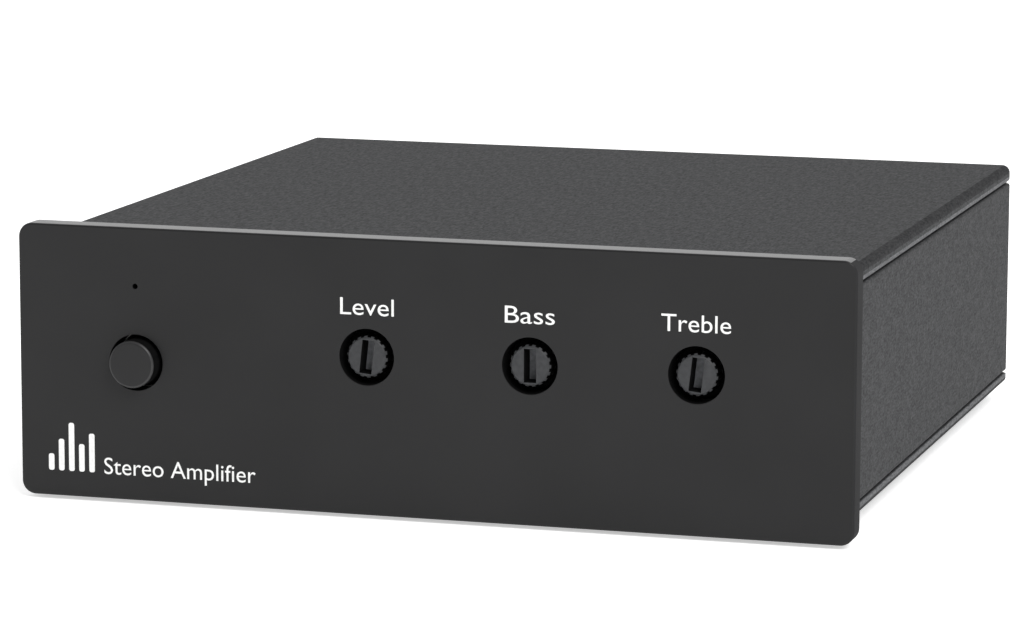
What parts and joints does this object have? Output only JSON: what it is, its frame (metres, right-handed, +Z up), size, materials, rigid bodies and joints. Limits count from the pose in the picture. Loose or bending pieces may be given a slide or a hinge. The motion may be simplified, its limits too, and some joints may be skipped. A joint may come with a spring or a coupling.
{
  "type": "integrated amplifier",
  "caption": "Compact desktop stereo amplifier in an extruded metal case, with a push power button, recessed level and tone controls, and screw speaker terminals at the rear.",
  "frame": {"origin": "on the surface that the feet stand on, at the middle of the overall width and depth", "axes": "+Z up; +Y from the front plate to the rear sockets, along the longest side; +X to the right, seen from the front"},
  "size_m": [0.122, 0.141, 0.0398],
  "materials": {
    "front_plate": "satin black anodised, fine texture",
    "case": "black powder coat, fine sand texture",
    "rear_plate": "satin black anodised sheet",
    "button": "satin black anodised",
    "control_shaft": "moulded grey, satin",
    "rubber_feet": "matte",
    "screws": "black zinc",
    "plated_steel": "bright zinc",
    "circuit_board": "green solder mask",
    "black_plastic": "moulded, satin",
    "red_plastic": "moulded, satin",
    "gold_plate": "gold plated",
    "bare_aluminium": "plain extruded",
    "capacitor_sleeve": "shrink sleeve",
    "ferrite": "pressed ferrite",
    "led_lens": "clear moulded"
  },
  "bodies": {
    "chassis": {"front_plate": "front_plate", "top_cover": "case", "bottom_cover": "case", "side_panel_left": "case", "side_panel_right": "case", "rear_plate": "rear_plate", "front_bracket": "plated_steel", "control_board": "circuit_board", "main_board": "circuit_board", "board_connector": "black_plastic", "power_switch_body": "black_plastic", "status_led": "led_lens", "amplifier_chip": "black_plastic", "heatsink": "bare_aluminium", "reservoir_capacitor_front": "capacitor_sleeve", "reservoir_capacitor_rear": "capacitor_sleeve", "output_inductor_left": "ferrite", "output_inductor_right": "ferrite", "trigger_jack": "black_plastic", "power_jack": "black_plastic", "rca_socket_body": "black_plastic", "rca_sleeve_left": "gold_plate", "rca_sleeve_right": "gold_plate", "terminal_base_left": "black_plastic", "terminal_base_right": "black_plastic", "foot_front_left": "rubber_feet", "foot_front_right": "rubber_feet", "foot_rear_left": "rubber_feet", "foot_rear_right": "rubber_feet", "rear_screw_left_low": "screws", "bracket_screw_left_low": "screws", "rear_screw_left_high": "screws", "bracket_screw_left_high": "screws", "rear_screw_right_low": "screws", "bracket_screw_right_low": "screws", "rear_screw_right_high": "screws", "bracket_screw_right_high": "screws", "plate_screw_left": "screws", "plate_screw_right": "screws", "level_pot_body": "plated_steel", "bass_pot_body": "plated_steel", "treble_pot_body": "plated_steel", "terminal_post_right_negative": "gold_plate", "terminal_post_right_positive": "gold_plate", "terminal_post_left_positive": "gold_plate", "terminal_post_left_negative": "gold_plate"},
    "level_control": {"level_shaft": "control_shaft"},
    "bass_control": {"bass_shaft": "control_shaft"},
    "treble_control": {"treble_shaft": "control_shaft"},
    "power_button": {"power_button_cap": "button", "power_switch_plunger": "black_plastic"},
    "clamp_right_negative": {"clamp_washer_right_negative": "gold_plate"},
    "nut_right_negative": {"thumb_nut_right_negative": "black_plastic"},
    "clamp_right_positive": {"clamp_washer_right_positive": "gold_plate"},
    "nut_right_positive": {"thumb_nut_right_positive": "red_plastic"},
    "clamp_left_positive": {"clamp_washer_left_positive": "gold_plate"},
    "nut_left_positive": {"thumb_nut_left_positive": "red_plastic"},
    "clamp_left_negative": {"clamp_washer_left_negative": "gold_plate"},
    "nut_left_negative": {"thumb_nut_left_negative": "black_plastic"}
  },
  "joints": [
    {"name": "power_press", "type": "slide", "parent": "chassis", "child": "power_button", "axis": [0, 1, 0], "range_m": [0, 0.0008], "stiffness_N_per_m": 1500, "springref_m": -0.0004},
    {"name": "level_turn", "type": "hinge", "parent": "chassis", "child": "level_control", "pos_m": [-0.0088, -0.06845, 0.02305], "axis": [0, 1, 0], "range_deg": [-156, 144]},
    {"name": "bass_turn", "type": "hinge", "parent": "chassis", "child": "bass_control", "pos_m": [0.01495, -0.06845, 0.02305], "axis": [0, 1, 0], "range_deg": [-150, 150]},
    {"name": "treble_turn", "type": "hinge", "parent": "chassis", "child": "treble_control", "pos_m": [0.0387, -0.06845, 0.02305], "axis": [0, 1, 0], "range_deg": [-156.5, 143.5]},
    {"name": "right_negative_back_off", "type": "slide", "parent": "chassis", "child": "clamp_right_negative", "axis": [0, 1, 0], "range_m": [0, 0.0045]},
    {"name": "right_negative_unscrew", "type": "hinge", "parent": "clamp_right_negative", "child": "nut_right_negative", "pos_m": [-0.0435, 0.07045, 0.02015], "axis": [0, 1, 0], "range_deg": [0, 1620.5]},
    {"name": "right_positive_back_off", "type": "slide", "parent": "chassis", "child": "clamp_right_positive", "axis": [0, 1, 0], "range_m": [0, 0.0045]},
    {"name": "right_positive_unscrew", "type": "hinge", "parent": "clamp_right_positive", "child": "nut_right_positive", "pos_m": [-0.0289, 0.07045, 0.02015], "axis": [0, 1, 0], "range_deg": [0, 1620.5]},
    {"name": "left_positive_back_off", "type": "slide", "parent": "chassis", "child": "clamp_left_positive", "axis": [0, 1, 0], "range_m": [0, 0.0045]},
    {"name": "left_positive_unscrew", "type": "hinge", "parent": "clamp_left_positive", "child": "nut_left_positive", "pos_m": [-0.0143, 0.07045, 0.02015], "axis": [0, 1, 0], "range_deg": [0, 1620.5]},
    {"name": "left_negative_back_off", "type": "slide", "parent": "chassis", "child": "clamp_left_negative", "axis": [0, 1, 0], "range_m": [0, 0.0045]},
    {"name": "left_negative_unscrew", "type": "hinge", "parent": "clamp_left_negative", "child": "nut_left_negative", "pos_m": [0.0003, 0.07045, 0.02015], "axis": [0, 1, 0], "range_deg": [0, 1620.5]}
  ],
  "couplings": [
    {"joint": "right_negative_unscrew", "follows": "right_negative_back_off", "rad_per_m": 6283.2},
    {"joint": "right_positive_unscrew", "follows": "right_positive_back_off", "rad_per_m": 6283.2},
    {"joint": "left_positive_unscrew", "follows": "left_positive_back_off", "rad_per_m": 6283.2},
    {"joint": "left_negative_unscrew", "follows": "left_negative_back_off", "rad_per_m": 6283.2}
  ]
}
